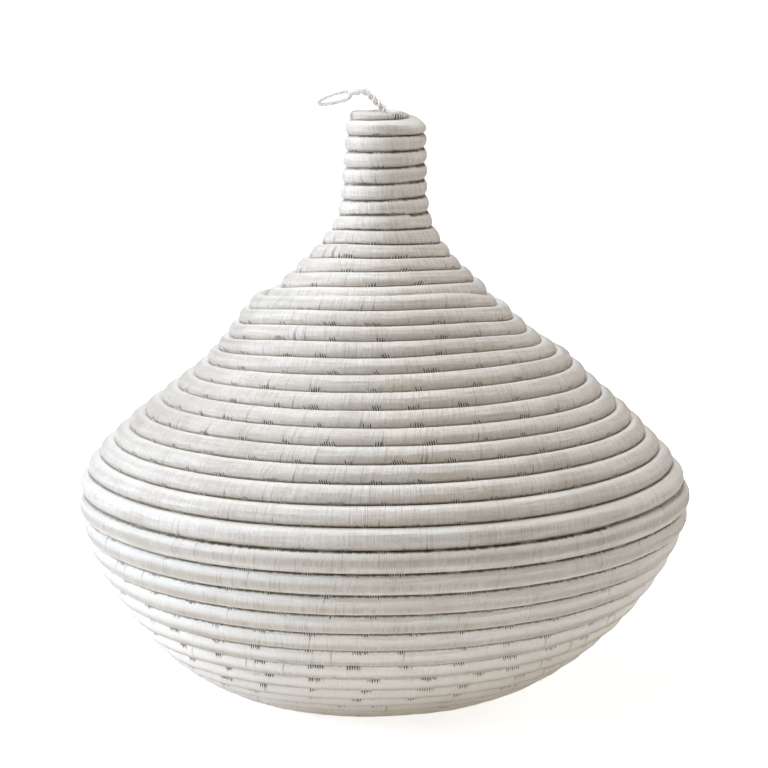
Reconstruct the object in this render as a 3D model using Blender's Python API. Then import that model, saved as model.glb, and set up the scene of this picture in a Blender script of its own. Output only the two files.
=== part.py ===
# A lidded basket, coiled: a bundle of grass wrapped with fine thread is wound round and round, each
# row stitched to the one before. One coil makes the basket, from the middle of the base up to the
# rim, and a second makes the lid, from its edge in the mouth up the neck to the crown. A loop of
# twisted cord comes out of the crown. Metres, +Z up, the base rests on z = 0 and the front is -Y.
# Both coils climb counter-clockwise seen from above.

import math

import bmesh
import bpy
import numpy as np
from mathutils import Vector
from mathutils.geometry import interpolate_bezier

# The basket, measured outside
BASE_RADIUS = 0.0940  # to the outside of the last row that lies flat
BELLY_RADIUS = 0.2229
BELLY_HEIGHT = 0.1395
RIM_HEIGHT = 0.3040  # top of the rim row at its end, before it thins
MOUTH_RADIUS = 0.0685  # inside the rim row, at the same place
SHOULDER_SLOPE = math.radians(47)
SHOULDER_STRAIGHT = 0.020  # the shoulder runs straight this far below the rim
FOOT_SLOPE = math.radians(15)  # of the wall where it leaves the floor
FOOT_SPREAD = 0.090  # how far the wall keeps near that slope before it climbs
LOWER_FULLNESS = 0.028  # how long the wall stays upright below the belly, and above it
UPPER_FULLNESS = 0.046
SHOULDER_FULLNESS = 0.080

# The lid, measured outside, its heights from the top of the rim
LID_HEIGHT = 0.1235
CONE_HEIGHT = 0.0141  # where the lid's straight cone starts to turn into the neck
NECK_FOOT_HEIGHT = 0.056  # where the neck is upright
NECK_FOOT_RADIUS = 0.0318
NECK_RADIUS = 0.0292
CROWN_DROP = 0.0095  # from the crown to where the neck is upright
FLARE = 0.017

# Thickness of the coil
COIL_IN_BASE = 0.0135
COIL_AT_BELLY = 0.0162
COIL_AT_MOUTH = 0.0138  # in the rim row and in the lid's edge row
COIL_AT_NECK = 0.0110
COIL_IN_CROWN = 0.0098

# How the rows lie
ROW_GAP = 0.00045  # between one row and the next
JOINT_GAP = 0.0003  # between the ends of two lengths of the coil
SEAT_GAP = 0.0004  # between the rim and the lid's edge
SEAT_ANGLE = math.radians(21)  # of the line from the rim row up to the lid's edge row
PRESSED_FLAT = 0.1  # share of the coil's thickness that the floor takes off
START_RADIUS = 0.0085  # of the first curl in the base
END_AZIMUTH = math.radians(-8)  # where both coils end, on the right a little in front
RIM_TAIL = 0.070  # lengths of the thinning ends
EDGE_TAIL = 0.040
START_TAIL = 0.020
TAIL_THICKNESS = 0.5  # at a thinned end, of the coil's own
ROW = 24  # corners in one turn

# The hanging loop, one strand doubled and twisted
STRAND = 0.0029
TWIST_PITCH = 0.0125  # and a little more or less, so that a strand meets the coil's end
STRAND_GAP = 0.00045
HOLE_CLEARANCE = 0.0002
EYE_LENGTH = 0.0225
EYE_WIDTH = 0.0062
KNOT_SIZE = 0.00172  # the knot's own unit: it is six units wide and two high, and a strand more
# Route of the twisted stem above the crown row, measured from the middle of the crown's top
STEM_ROUTE = [
    (0.0, 0.0, -0.0045),
    (-0.0008, 0.0, 0.0010),
    (-0.0048, 0.0, 0.0065),
    (-0.0092, 0.0, 0.0128),
    (-0.0138, 0.0, 0.0172),
    (-0.0186, 0.0, 0.0170),
    (-0.0240, 0.0, 0.0148),
]
STEM_POINTS = 34
EYE_POINTS = 12
KNOT_POINTS = 36

COIL_COLOUR = (0.80, 0.765, 0.715)
CORD_COLOUR = (0.86, 0.81, 0.76)
THREAD_ROUGHNESS = 0.6
TURN = 2.0 * math.pi
PART = bpy.data.collections.new("lidded_basket")
CUTTERS = bpy.data.collections.new("cutters")


def material(name, colour):
    made = bpy.data.materials.new(name)
    made.use_nodes = True
    shader = made.node_tree.nodes["Principled BSDF"]
    shader.inputs["Base Color"].default_value = (*colour, 1.0)
    shader.inputs["Roughness"].default_value = THREAD_ROUGHNESS
    shader.inputs["Metallic"].default_value = 0.0
    return made


def bezier(start, out_handle, in_handle, end, steps=80):
    # Points of one Bezier curve in the plane of radius and height
    corners = [Vector((p[0], p[1], 0.0)) for p in (start, out_handle, in_handle, end)]
    return np.array([p[:2] for p in interpolate_bezier(*corners, steps)])


def straight(start, end, steps=20):
    return np.linspace(np.array(start), np.array(end), steps)


class Coil:
    """A coil wound along a line of radius and height, with its corners numbered from the mouth.

    Each corner lies as far along the line from the corner one row before it as the straight
    distance between the two rows asks for: their mean thickness and a gap. The first row takes
    equal steps.
    """

    def __init__(self, runs, stations, climbs):
        line = np.vstack(runs)
        step = np.linalg.norm(np.diff(line, axis=0), axis=1)
        line = line[np.concatenate([[True], step > 1e-7])]
        along = np.concatenate([[0.0], np.cumsum(np.linalg.norm(np.diff(line, axis=0), axis=1))])
        self.run = np.linspace(0.0, along[-1], 6000)
        self.line = np.stack([np.interp(self.run, along, line[:, k]) for k in (0, 1)], axis=1)
        places = [self.run_near(point) for point, _ in stations]
        self.thick = np.interp(self.run, places, [thick for _, thick in stations])
        self.climbs = climbs  # 1 where the coil climbs away from the mouth, or else -1
        self.places = list(np.linspace(0.0, self.next_row(0.0), ROW + 1))
        following = self.next_row(self.places[-ROW])
        while following is not None:
            self.places.append(following)
            following = self.next_row(self.places[-ROW])
        self.count = len(self.places) - 1

    def point(self, place):
        return np.array([np.interp(place, self.run, self.line[:, k]) for k in (0, 1)])

    def thickness(self, place):
        return float(np.interp(place, self.run, self.thick))

    def next_row(self, place):
        # The place one row further on, or None where the line has ended
        away = np.linalg.norm(self.line - self.point(place), axis=1)
        clear = away - (self.thick + self.thickness(place)) / 2 - ROW_GAP
        beyond = np.flatnonzero((self.run > place) & (clear >= 0.0))
        if len(beyond) == 0:
            return None
        k = beyond[0]
        return float(np.interp(0.0, clear[k - 1:k + 1], self.run[k - 1:k + 1]))

    def run_near(self, point):
        away = np.linalg.norm(self.line - np.array(point), axis=1)
        return self.run[int(np.argmin(away))]

    def corner_near(self, point):
        return int(np.argmin(np.abs(np.array(self.places) - self.run_near(point))))

    def at(self, corner):
        # Radius and height of the coil's middle at a corner, its thickness and the line's way
        place = self.places[corner]
        thick = self.thickness(place)
        way = self.point(place + thick / 2) - self.point(place - thick / 2)
        return self.point(place), thick, way / np.linalg.norm(way)

    def azimuth(self, corner):
        return END_AZIMUTH + self.climbs * TURN * corner / ROW


def climb():
    # The way up the shoulder, in radius and height
    return np.array([-math.cos(SHOULDER_SLOPE), math.sin(SHOULDER_SLOPE)])


def basket_coil():
    # Middle line of the basket's coil: straight shoulder, belly, flat base
    base_height = COIL_IN_BASE * (0.5 - PRESSED_FLAT)
    rim = np.array([MOUTH_RADIUS + COIL_AT_MOUTH / 2, RIM_HEIGHT - COIL_AT_MOUTH / 2])
    shoulder = rim - climb() * SHOULDER_STRAIGHT
    belly = (BELLY_RADIUS - COIL_AT_BELLY / 2, BELLY_HEIGHT)
    foot = np.array([BASE_RADIUS - COIL_IN_BASE / 2, base_height])
    spread = np.array([math.cos(FOOT_SLOPE), math.sin(FOOT_SLOPE)]) * FOOT_SPREAD
    start = (START_RADIUS, base_height)
    runs = [
        straight(rim, shoulder),
        bezier(shoulder, shoulder - climb() * SHOULDER_FULLNESS,
               (belly[0], belly[1] + UPPER_FULLNESS), belly),
        bezier(belly, (belly[0], belly[1] - LOWER_FULLNESS), foot + spread, foot),
        straight(foot, start),
    ]
    stations = [(rim, COIL_AT_MOUTH), (shoulder, COIL_AT_MOUTH), (belly, COIL_AT_BELLY),
                (foot, COIL_IN_BASE), (start, COIL_IN_BASE)]
    coil = Coil(runs, stations, -1)
    coil.belly, coil.foot = coil.corner_near(belly), coil.corner_near(foot)
    return coil


def lid_coil(basket):
    # Middle line of the lid's coil. Its first turn runs beside the basket's last one, at a
    # constant distance up and inwards, and so rests on the rim all the way round.
    distance = COIL_AT_MOUTH + SEAT_GAP
    seat = distance * np.array([-math.cos(SEAT_ANGLE), math.sin(SEAT_ANGLE)])
    edge = basket.at(ROW)[0] + seat
    cone_top = edge + climb() * ((RIM_HEIGHT + CONE_HEIGHT - edge[1]) / climb()[1])
    neck_foot = (NECK_FOOT_RADIUS - COIL_AT_NECK / 2, RIM_HEIGHT + NECK_FOOT_HEIGHT)
    crown = RIM_HEIGHT + LID_HEIGHT
    neck_top = (NECK_RADIUS - COIL_AT_NECK / 2, crown - CROWN_DROP)
    crown_middle = (hole_radius() + COIL_IN_CROWN / 2, crown - COIL_IN_CROWN / 2)
    reach = neck_top[0] - crown_middle[0]
    runs = [
        straight(edge, cone_top),
        bezier(cone_top, cone_top + climb() * FLARE, (neck_foot[0], neck_foot[1] - FLARE), neck_foot),
        straight(neck_foot, neck_top),
        bezier(neck_top, (neck_top[0], (neck_top[1] + crown_middle[1]) / 2),
               (crown_middle[0] + reach / 2, crown_middle[1]), crown_middle),
    ]
    stations = [(edge, COIL_AT_MOUTH), (edge + climb() * COIL_AT_MOUTH, COIL_AT_MOUTH),
                (cone_top, COIL_AT_NECK), (neck_top, COIL_AT_NECK), (crown_middle, COIL_IN_CROWN)]
    coil = Coil(runs, stations, 1)
    coil.neck_foot, coil.neck_top = coil.corner_near(neck_foot), coil.corner_near(neck_top)
    return coil


def hole_radius():
    # The doubled strand passes through the crown
    return STRAND + STRAND_GAP / 2 + HOLE_CLEARANCE


def tail_share(corners, radius, length):
    # Share of the full thickness that is left so many corners away from a thinned end
    left = corners / ROW * TURN * radius
    return TAIL_THICKNESS + (1.0 - TAIL_THICKNESS) * math.sin(min(left / length, 1.0) * math.pi / 2)


def coil_corner(coil, corner, tails, turned):
    # Place, half thickness and tilt at a corner. The section has one of its own corners towards
    # each neighbouring row, turned by the angle given. Tails gives the length of each thinned end
    # by its last corner. A thinned end stays against its only neighbour.
    middle, thick, way = coil.at(corner)
    for end, length in tails.items():
        share = tail_share(abs(end - corner), middle[0], length)
        side = 1.0 if end == 0 else -1.0
        middle = middle + side * way * (1.0 - share) * thick / 2
        thick *= share
    angle = coil.azimuth(corner)
    place = np.array([middle[0] * math.cos(angle), middle[0] * math.sin(angle), middle[1]])
    return place, thick / 2, -math.atan2(way[1], way[0]) - turned


def coil_length(name, coil, start, end, tails={}, turned=0.0):
    # One length of a coil as a tube. It runs between two corners, and on to the middle of the
    # next side where another length follows, less half the gap between their ends. Every tube's
    # points go counter-clockwise.
    points = [coil_corner(coil, k, tails, turned) for k in range(start, end + 1)]
    if start > 0:
        points.insert(0, side_middle(coil_corner(coil, start - 1, tails, turned), points[0]))
    if end < coil.count:
        points.append(side_middle(coil_corner(coil, end + 1, tails, turned), points[-1]))
    return tube(name, points[::coil.climbs], COIL_COLOUR)


def side_middle(far, near):
    way = (near[0] - far[0]) / np.linalg.norm(near[0] - far[0])
    place = (far[0] + near[0]) / 2 + way * JOINT_GAP / 2
    return place, (far[1] + near[1]) / 2, (far[2] + near[2]) / 2


def tube(name, points, colour, closed=False):
    curve = bpy.data.curves.new(name, "CURVE")
    curve.dimensions = "3D"
    curve.twist_mode = "Z_UP"
    curve.bevel_depth = 1.0
    curve.bevel_resolution = 1
    curve.use_fill_caps = not closed
    spline = curve.splines.new("POLY")
    spline.points.add(len(points) - 1)
    spline.use_cyclic_u = closed
    spline.use_smooth = True
    for point, (place, radius, tilt) in zip(spline.points, points):
        point.co = (*place, 1.0)
        point.radius = radius
        point.tilt = tilt
    made = bpy.data.objects.new(name, curve)
    PART.objects.link(made)
    curve.materials.append(material(name, colour))
    return made


def as_mesh(made):
    # A piece that is cut is a mesh with its caps welded on
    bpy.context.view_layer.update()
    ready = made.evaluated_get(bpy.context.evaluated_depsgraph_get())
    mesh = bpy.data.meshes.new_from_object(ready)
    name, place = made.name, made.matrix_world.copy()
    bpy.data.objects.remove(made, do_unlink=True)
    shape = bmesh.new()
    shape.from_mesh(mesh)
    bmesh.ops.remove_doubles(shape, verts=shape.verts, dist=0.00002)
    shape.to_mesh(mesh)
    shape.free()
    mesh.shade_smooth()
    solid = bpy.data.objects.new(name, mesh)
    solid.matrix_world = place
    PART.objects.link(solid)
    return solid


def press_flat(made):
    # What lies below the floor is taken off
    solid = as_mesh(made)
    bpy.ops.mesh.primitive_cube_add(size=1.0)
    block = bpy.context.active_object
    block.name = "floor_cutter_" + solid.name
    for home in block.users_collection:
        home.objects.unlink(block)
    CUTTERS.objects.link(block)
    block.scale = (3 * BELLY_RADIUS, 3 * BELLY_RADIUS, COIL_IN_BASE)
    block.location = (0.0, 0.0, -COIL_IN_BASE / 2)
    block.hide_render = True
    block.display_type = "WIRE"
    cut = solid.modifiers.new("flat base", "BOOLEAN")
    cut.operation = "DIFFERENCE"
    cut.object = block
    return solid


def smooth_route(points, count):
    # A curve through all the points, evenly spaced
    knots = np.array(points)
    padded = np.vstack([2 * knots[0] - knots[1], knots, 2 * knots[-1] - knots[-2]])
    fine = []
    for k in range(1, len(padded) - 2):
        a, b, c, d = padded[k - 1:k + 3]
        t = np.linspace(0.0, 1.0, 30)[:, None]
        fine.append(0.5 * (2 * b + (c - a) * t + (2 * a - 5 * b + 4 * c - d) * t ** 2
                           + (3 * b - a - 3 * c + d) * t ** 3))
    fine = np.vstack(fine)
    along = np.concatenate([[0.0], np.cumsum(np.linalg.norm(np.diff(fine, axis=0), axis=1))])
    even = np.linspace(0.0, along[-1], count)
    return np.stack([np.interp(even, along, fine[:, k]) for k in range(3)], axis=1), along[-1]


def loop_path(coil_end):
    # Up one strand of the stem, round the eye and down the other strand. The strands wind round
    # each other, and lie side by side in the plane of the eye where it opens. Halfway through the
    # crown they lie in line with the azimuth of the coil's end.
    apart = STRAND / 2 + STRAND_GAP / 2
    route = [(0.0, 0.0, -COIL_IN_CROWN - JOINT_GAP)] + STEM_ROUTE
    stem, length = smooth_route(route, STEM_POINTS)
    stem[:, 2] += RIM_HEIGHT + LID_HEIGHT
    way = np.gradient(stem, axis=0)
    way /= np.linalg.norm(way, axis=1)[:, None]
    side = np.cross(way, (0.0, 1.0, 0.0))
    depth = np.tile((0.0, 1.0, 0.0), (STEM_POINTS, 1))
    left = length * (1.0 - np.arange(STEM_POINTS) / (STEM_POINTS - 1))
    above = length - COIL_IN_CROWN / 2 - JOINT_GAP
    odd = (math.pi - coil_end) % math.pi
    angle = left / above * (odd + math.pi * round((TURN * above / TWIST_PITCH - odd) / math.pi))
    swing = np.cos(angle)[:, None] * side + np.sin(angle)[:, None] * depth
    up, down = stem + apart * swing, stem - apart * swing
    # The eye: half its width follows a sine, blended from the strands' distance to nothing
    turn = np.linspace(0.0, math.pi, EYE_POINTS + 1)[1:]
    reach = EYE_LENGTH * (1.0 - np.cos(turn)) / 2
    half = EYE_WIDTH / 2 * np.sin(turn) ** 0.8 + apart * (1.0 + np.cos(turn)) / 2
    out = stem[-1] + reach[:, None] * way[-1] + half[:, None] * side[-1]
    back = stem[-1] + reach[:, None] * way[-1] - half[:, None] * side[-1]
    return np.vstack([up, out, back[-2::-1], down[::-1]])


def hanging_loop(coil_end):
    points = [(place, STRAND / 2, 0.0) for place in loop_path(coil_end)]
    return tube("hanging_loop", points, CORD_COLOUR)


def loop_knot():
    # A tied knot under the crown: the strand follows a trefoil, too wide for the hole above it
    top = RIM_HEIGHT + LID_HEIGHT - COIL_IN_CROWN - 2 * JOINT_GAP
    middle = top - KNOT_SIZE - STRAND / 2
    points = []
    for k in range(KNOT_POINTS):
        t = TURN * k / KNOT_POINTS
        wide = KNOT_SIZE * (2.0 + math.cos(3 * t))
        place = (wide * math.cos(2 * t), wide * math.sin(2 * t), middle + KNOT_SIZE * math.sin(3 * t))
        points.append((place, STRAND / 2, 0.0))
    return tube("loop_knot", points, CORD_COLOUR, closed=True)


def least_gap(coil):
    # From the coil's corners to the same corners a row before, in mm
    gaps = []
    for corner in range(ROW, coil.count + 1):
        here, thick, _ = coil.at(corner)
        before, thick_before, _ = coil.at(corner - ROW)
        gaps.append(np.linalg.norm(here - before) - (thick + thick_before) / 2)
    return round(1000 * float(min(gaps)), 3)


def build():
    for old in list(bpy.data.objects):
        bpy.data.objects.remove(old, do_unlink=True)
    bpy.context.scene.collection.children.link(PART)
    bpy.context.scene.collection.children.link(CUTTERS)

    basket = basket_coil()
    lid = lid_coil(basket)
    print("turns in the basket and the lid:", round(basket.count / ROW, 2), round(lid.count / ROW, 2))
    print("least gap between rows, mm:", least_gap(basket), least_gap(lid))
    turned = SHOULDER_SLOPE - SEAT_ANGLE  # the rim and the edge turn a corner to each other

    # The basket's coil in five lengths, from the rim down
    belly, wall, foot = basket.belly - 3 * ROW, basket.belly + 2 * ROW, basket.foot
    coil_length("rim_coil", basket, 0, ROW, {0: RIM_TAIL}, turned)
    coil_length("shoulder_coil", basket, ROW + 1, belly)
    coil_length("belly_coil", basket, belly + 1, wall)
    press_flat(coil_length("lower_wall_coil", basket, wall + 1, foot))
    press_flat(coil_length("base_coil", basket, foot + 1, basket.count, {basket.count: START_TAIL}))

    # The lid's coil in four, from the edge up
    neck, crown = lid.neck_foot - ROW, lid.neck_top
    coil_length("lid_edge_coil", lid, 0, ROW, {0: EDGE_TAIL}, turned)
    coil_length("lid_shoulder_coil", lid, ROW + 1, neck)
    coil_length("lid_neck_coil", lid, neck + 1, crown)
    coil_length("lid_crown_coil", lid, crown + 1, lid.count)
    hanging_loop(lid.azimuth(lid.count))
    loop_knot()


build()
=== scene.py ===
import math

import bpy
import numpy as np
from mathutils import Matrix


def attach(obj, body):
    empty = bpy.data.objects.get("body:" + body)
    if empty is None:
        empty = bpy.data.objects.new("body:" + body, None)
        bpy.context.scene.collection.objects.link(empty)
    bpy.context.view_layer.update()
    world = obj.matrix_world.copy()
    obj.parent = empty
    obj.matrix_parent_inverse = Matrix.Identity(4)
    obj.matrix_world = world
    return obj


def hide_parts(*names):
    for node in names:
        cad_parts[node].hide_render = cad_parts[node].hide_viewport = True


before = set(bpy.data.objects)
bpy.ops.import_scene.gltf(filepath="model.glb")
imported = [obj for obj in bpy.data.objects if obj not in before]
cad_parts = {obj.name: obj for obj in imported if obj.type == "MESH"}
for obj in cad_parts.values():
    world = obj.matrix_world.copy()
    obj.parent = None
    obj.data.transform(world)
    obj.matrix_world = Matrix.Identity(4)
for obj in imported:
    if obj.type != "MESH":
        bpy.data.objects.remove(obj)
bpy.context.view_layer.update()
turn = 2.0 * math.pi
print("frame loaded")


# Camera, at the photograph's place and angle
camera = {"distance": 2.4, "height": 0.59, "pitch": 0.1505, "lens": 155.2}
cameraData = bpy.data.cameras.new("camera")
cameraData.lens = camera["lens"]
cameraData.sensor_width = 36.0
cameraData.clip_end = 50.0
cameraObject = bpy.data.objects.new("camera", cameraData)
cameraObject.location = (0.0, -camera["distance"], camera["height"])
cameraObject.rotation_euler = (math.pi / 2 - camera["pitch"], 0.0, 0.0)
bpy.context.scene.collection.objects.link(cameraObject)
bpy.context.scene.camera = cameraObject


# The coils' middle lines, in radius and height, as the CAD part winds them
cad = {
    "baseRadius": 0.0940, "bellyRadius": 0.2229, "bellyHeight": 0.1395, "rimHeight": 0.3040,
    "mouthRadius": 0.0685, "shoulderSlope": math.radians(47), "shoulderStraight": 0.020,
    "footSlope": math.radians(15), "footSpread": 0.090, "lowerFullness": 0.028,
    "upperFullness": 0.046, "shoulderFullness": 0.080, "lidHeight": 0.1235, "coneHeight": 0.0141,
    "neckFootHeight": 0.056, "neckFootRadius": 0.0318, "neckRadius": 0.0292, "crownDrop": 0.0095,
    "flare": 0.017, "coilInBase": 0.0135, "coilAtBelly": 0.0162, "coilAtMouth": 0.0138,
    "coilAtNeck": 0.0110, "coilInCrown": 0.0098, "rowGap": 0.00045, "jointGap": 0.0003,
    "seatGap": 0.0004, "seatAngle": math.radians(21), "pressedFlat": 0.1, "startRadius": 0.0085,
    "endAzimuth": math.radians(-8), "corners": 24,
    "strand": 0.0029, "twistPitch": 0.0125, "strandGap": 0.00045, "holeClearance": 0.0002,
    "eyeLength": 0.0225, "eyeWidth": 0.0062, "knotSize": 0.00172,
}
stemRoute = [(0.0, 0.0, -0.0045), (-0.0008, 0.0, 0.0010), (-0.0048, 0.0, 0.0065),
             (-0.0092, 0.0, 0.0128), (-0.0138, 0.0, 0.0172), (-0.0186, 0.0, 0.0170),
             (-0.0240, 0.0, 0.0148)]


def bezier(a, b, c, d, steps=80):
    # Cubic curve from a to d that sets out towards b and arrives from c
    a, b, c, d = (np.array(p, dtype=float) for p in (a, b, c, d))
    t = np.linspace(0.0, 1.0, steps)[:, None]
    return a * (1 - t) ** 3 + 3 * b * t * (1 - t) ** 2 + 3 * c * t ** 2 * (1 - t) + d * t ** 3


def straight(a, b, steps=20):
    # Even steps from a to b
    return np.linspace(np.array(a, dtype=float), np.array(b, dtype=float), steps)


def along(points):
    # Length along the points, from the first to each
    return np.concatenate([[0.0], np.cumsum(np.linalg.norm(np.diff(points, axis=0), axis=1))])


def wind(runs, stations, climbs):
    # Places of the coil's corners along the line: each is as far on from the corner one row
    # before it as the two rows' mean thickness and a gap
    line = np.vstack(runs)
    line = line[np.concatenate([[True], np.linalg.norm(np.diff(line, axis=0), axis=1) > 1e-7])]
    length = along(line)
    run = np.linspace(0.0, length[-1], 6000)
    line = np.stack([np.interp(run, length, line[:, k]) for k in (0, 1)], axis=1)
    near = [run[np.argmin(np.linalg.norm(line - np.array(p), axis=1))] for p, _ in stations]
    thick = np.interp(run, near, [size for _, size in stations])

    def nextRow(place):
        here = np.array([np.interp(place, run, line[:, k]) for k in (0, 1)])
        clear = (np.linalg.norm(line - here, axis=1)
                 - (thick + np.interp(place, run, thick)) / 2 - cad["rowGap"])
        beyond = np.flatnonzero((run > place) & (clear >= 0.0))
        if len(beyond) == 0:
            return None
        k = beyond[0]
        return float(np.interp(0.0, clear[k - 1:k + 1], run[k - 1:k + 1]))

    row = cad["corners"]
    places = list(np.linspace(0.0, nextRow(0.0), row + 1))
    following = nextRow(places[-row])
    while following is not None:
        places.append(following)
        following = nextRow(places[-row])
    return {"run": run, "line": line, "thick": thick, "places": np.array(places),
            "turns": (len(places) - 1) / row, "climbs": climbs}


def coilAt(coil, turns):
    # Middle, thickness and way of the line at these turns, counted from the mouth
    place = np.interp(turns * cad["corners"], np.arange(len(coil["places"])), coil["places"])
    thick = np.interp(place, coil["run"], coil["thick"])

    def point(at):
        return np.stack([np.interp(at, coil["run"], coil["line"][:, k]) for k in (0, 1)], axis=1)

    way = point(place + thick / 2) - point(place - thick / 2)
    return point(place), thick, way / np.linalg.norm(way, axis=1)[:, None]


upShoulder = np.array([-math.cos(cad["shoulderSlope"]), math.sin(cad["shoulderSlope"])])
baseHeight = cad["coilInBase"] * (0.5 - cad["pressedFlat"])
rim = np.array([cad["mouthRadius"] + cad["coilAtMouth"] / 2,
                cad["rimHeight"] - cad["coilAtMouth"] / 2])
shoulder = rim - upShoulder * cad["shoulderStraight"]
belly = np.array([cad["bellyRadius"] - cad["coilAtBelly"] / 2, cad["bellyHeight"]])
foot = np.array([cad["baseRadius"] - cad["coilInBase"] / 2, baseHeight])
spread = np.array([math.cos(cad["footSlope"]), math.sin(cad["footSlope"])]) * cad["footSpread"]
middleOfBase = np.array([cad["startRadius"], baseHeight])
basketCoil = wind(
    [straight(rim, shoulder),
     bezier(shoulder, shoulder - upShoulder * cad["shoulderFullness"],
            belly + (0, cad["upperFullness"]), belly),
     bezier(belly, belly - (0, cad["lowerFullness"]), foot + spread, foot),
     straight(foot, middleOfBase)],
    [(rim, cad["coilAtMouth"]), (shoulder, cad["coilAtMouth"]), (belly, cad["coilAtBelly"]),
     (foot, cad["coilInBase"]), (middleOfBase, cad["coilInBase"])], -1)

crownTop = cad["rimHeight"] + cad["lidHeight"]
towardsLid = np.array([-math.cos(cad["seatAngle"]), math.sin(cad["seatAngle"])])
seat = (cad["coilAtMouth"] + cad["seatGap"]) * towardsLid
edge = coilAt(basketCoil, np.array([1.0]))[0][0] + seat
coneTop = edge + upShoulder * ((cad["rimHeight"] + cad["coneHeight"] - edge[1]) / upShoulder[1])
neckFoot = np.array([cad["neckFootRadius"] - cad["coilAtNeck"] / 2,
                     cad["rimHeight"] + cad["neckFootHeight"]])
neckTop = np.array([cad["neckRadius"] - cad["coilAtNeck"] / 2, crownTop - cad["crownDrop"]])
holeRadius = cad["strand"] + cad["strandGap"] / 2 + cad["holeClearance"]
crownMiddle = np.array([holeRadius + cad["coilInCrown"] / 2, crownTop - cad["coilInCrown"] / 2])
lidCoil = wind(
    [straight(edge, coneTop),
     bezier(coneTop, coneTop + upShoulder * cad["flare"], neckFoot - (0, cad["flare"]), neckFoot),
     straight(neckFoot, neckTop),
     bezier(neckTop, (neckTop[0], (neckTop[1] + crownMiddle[1]) / 2),
            ((neckTop[0] + crownMiddle[0]) / 2, crownMiddle[1]), crownMiddle)],
    [(edge, cad["coilAtMouth"]), (edge + upShoulder * cad["coilAtMouth"], cad["coilAtMouth"]),
     (coneTop, cad["coilAtNeck"]), (neckTop, cad["coilAtNeck"]), (crownMiddle, cad["coilInCrown"])], 1)

# The lid's coil goes on round the crown's middle, ever thinner, into the room that its spiral
# leaves beside the loop
crownEnd = {"turns": 0.6, "thickness": 0.0036, "lift": 0.0012}
lidTurns = lidCoil["turns"]
tip = np.array([holeRadius + crownEnd["thickness"] / 2, crownMiddle[1] + crownEnd["lift"]])
tipPlace = lidCoil["run"][-1] + float(np.linalg.norm(tip - crownMiddle))
more = round(crownEnd["turns"] * cad["corners"])
lastPlaces = np.linspace(lidCoil["places"][-1], tipPlace, more + 1)[1:]
lidCoil["places"] = np.append(lidCoil["places"], lastPlaces)
lidCoil["run"] = np.append(lidCoil["run"], tipPlace)
lidCoil["line"] = np.vstack([lidCoil["line"], tip])
lidCoil["thick"] = np.append(lidCoil["thick"], crownEnd["thickness"])
lidCoil["turns"] += more / cad["corners"]
print("coil lines:", round(basketCoil["turns"], 2), round(lidCoil["turns"], 2), "turns")


# Handmade unevenness: one smooth field for everything, so that what touches still touches. Each
# list has a value for each height: a shift to the right, a rise, a sag of the sides and the back
# and a push outwards, all in millimetres, and a fall to the right, as a slope.
uneven = {
    "heights": [0.0, 0.03, 0.06, 0.09, 0.12, 0.15, 0.17, 0.19, 0.21, 0.23,
                0.25, 0.27, 0.29, 0.31, 0.335, 0.36, 0.416, 0.4275, 0.4445],
    "lean": [-9.5, -6.5, -3.0, -1.5, 0.0, -0.5, -1.0, -0.5, 0.5, 1.8,
             1.7, -2.0, -4.5, -3.5, -1.0, 0.0, 1.0, 1.0, 1.0],
    "rise": [0.0, 0.8, 2.4, 4.2, 4.0, 1.4, -1.2, -1.8, -1.9, -1.3,
             1.0, 1.8, 0.6, -0.5, -0.3, -0.2, 0.1, -1.2, -4.6],
    "sag": [0.0, -3.5, -6.0, -6.0, -6.0, -7.0, -6.0, -2.5, -0.5, 1.5,
            4.0, 8.5, 8.0, 6.2, 3.5, 1.0, 0.5, 0.5, 0.5],
    "outward": [3.0, 4.5, 5.0, 4.5, 2.5, 0.5, -1.0, -1.0, 0.3, 0.5,
                1.5, 4.0, 6.5, 6.0, 2.0, 0.0, 0.0, 0.0, 0.0],
    "roll": [0.0, 0.0, 0.0, 0.0, 0.0, 0.0, 0.0, 0.0, 0.0, 0.0,
             -0.015, 0.0, 0.015, 0.0, 0.06, 0.03, 0.06, 0.03, 0.0],
    "core": 0.01,  # radius inside which the sag and the push die away
    "wave": 0.0007, "waveFoot": 0.03,
}
# The lid sits a little to the right in the rim, and its edge is spread to fill it
lidSeat = {"top": 0.37, "foot": 0.335, "lean": 0.0015, "outward": 0.003}
# The crown's top row sits to the left on the row below, is spread and falls to the right, and the
# loop leans out of it. The shares go by the radius.
crown = {
    "foot": 0.412, "blend": 0.004, "loopBlend": 0.002, "lean": 0.0037, "outward": 0.0022,
    "leanRadii": [0.004, 0.016, 0.0205, 0.0275], "leanShares": [0.35, 1.0, 1.0, 0.0],
    "loopRadii": [0.004, 0.045], "loopShares": [0.35, 1.25],
    "spreadRadii": [0.004, 0.018, 0.0205, 0.0275], "spreadShares": [0.0, 1.0, 1.0, 0.0],
    "fall": 0.0012, "fallRight": 0.0024, "fallReach": 0.02,
    "fallFoot": 0.408, "fallHeight": 0.016, "fallRadius": 0.0205, "fallWidth": 0.007,
}


def ramp(value, start, width):
    # From 0 at the start to 1 a width further on
    return np.clip((value - start) / width, 0.0, 1.0)


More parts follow.
